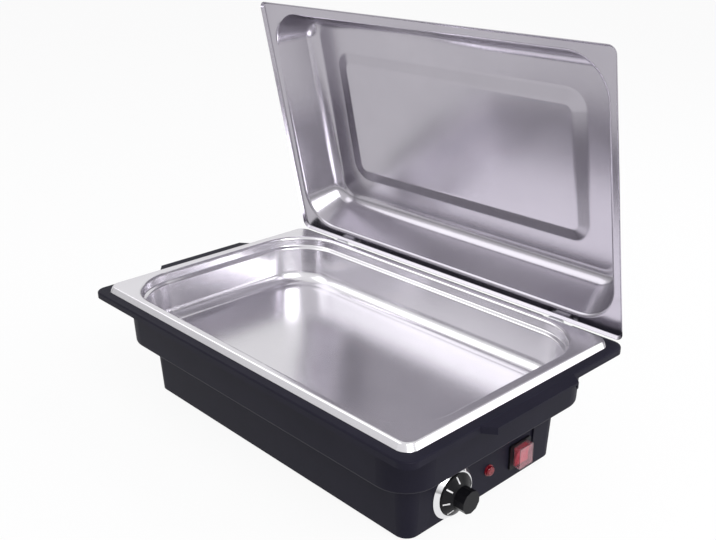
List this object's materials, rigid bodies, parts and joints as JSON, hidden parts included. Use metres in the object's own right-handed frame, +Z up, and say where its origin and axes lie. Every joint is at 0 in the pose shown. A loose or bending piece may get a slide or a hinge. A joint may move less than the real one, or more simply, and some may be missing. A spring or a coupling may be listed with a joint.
{
  "type": "electric chafing dish",
  "caption": "Electric chafing dish: black moulded base with heated water bath, steel food pan, hinged domed steel lid held open, heat dial, pilot lamp and rocker switch",
  "frame": {"origin": "middle of the plane that the feet stand on, under the middle of the base", "axes": "+Z up, +X along the length out of the control end, +Y to the hinge side at the back"},
  "size_m": [0.579, 0.4131, 0.4775],
  "materials": {
    "base_plastic": "fine matt moulded grain",
    "foot_rubber": "matt",
    "pan_steel": "satin",
    "lid_steel": "satin to bright",
    "steel_hardware": "zinc plated",
    "aluminium_sheet": "mill finish",
    "heater_steel": "dull oxidised",
    "ceramic_plastic": "dull",
    "copper_tube": "dull copper",
    "control_plastic": "smooth black",
    "handle_plastic": "fine matt",
    "dial_chrome": "bright",
    "mark_white": "printed white",
    "lamp_red": "clear red",
    "rocker_red": "glossy red",
    "clear_cover": "clear soft cover"
  },
  "bodies": {
    "base": {"base_shell": "base_plastic", "bottom_cover": "base_plastic", "cover_screws": "steel_hardware", "feet": "foot_rubber", "foot_screws": "steel_hardware", "water_pan": "pan_steel", "food_pan": "pan_steel", "heat_spreader": "aluminium_sheet", "heating_element": "heater_steel", "weld_studs": "steel_hardware", "element_clamps": "steel_hardware", "clamp_nuts": "steel_hardware", "thermal_cutout": "ceramic_plastic", "heat_shield": "aluminium_sheet", "shield_screws": "steel_hardware", "thermostat_body": "ceramic_plastic", "thermostat_screws": "steel_hardware", "thermostat_bulb": "copper_tube", "dial_ring": "dial_chrome", "dial_face": "control_plastic", "lamp_lens": "lamp_red", "lamp_body": "ceramic_plastic", "lamp_nut": "control_plastic", "switch_housing": "control_plastic", "switch_cover": "clear_cover", "terminal_block": "ceramic_plastic", "cord_gland": "control_plastic", "gland_nut": "control_plastic", "hinge_bracket_left": "steel_hardware", "hinge_bracket_right": "steel_hardware", "hinge_pin_left": "steel_hardware", "hinge_pin_right": "steel_hardware", "hinge_screws": "steel_hardware"},
    "lid": {"lid": "lid_steel", "lid_handle": "handle_plastic", "handle_brackets": "steel_hardware", "handle_screws": "steel_hardware", "hinge_leaf_left": "steel_hardware", "hinge_leaf_right": "steel_hardware"},
    "knob": {"control_knob": "control_plastic", "thermostat_shaft": "steel_hardware", "dial_marks": "mark_white"},
    "rocker": {"switch_rocker": "rocker_red"}
  },
  "joints": [
    {"name": "lid_hinge", "type": "hinge", "parent": "base", "child": "lid", "pos_m": [0, 0.1695, 0.1446], "axis": [1, 0, 0], "range_deg": [-16.5, 78.5]},
    {"name": "knob_turn", "type": "hinge", "parent": "base", "child": "knob", "pos_m": [0.226, -0.054, 0.0355], "axis": [-1, 0, 0], "range_deg": [0, 270]},
    {"name": "rocker_tilt", "type": "hinge", "parent": "base", "child": "rocker", "pos_m": [0.224, 0.057, 0.034], "axis": [0, -1, 0], "range_deg": [0, 18]}
  ]
}
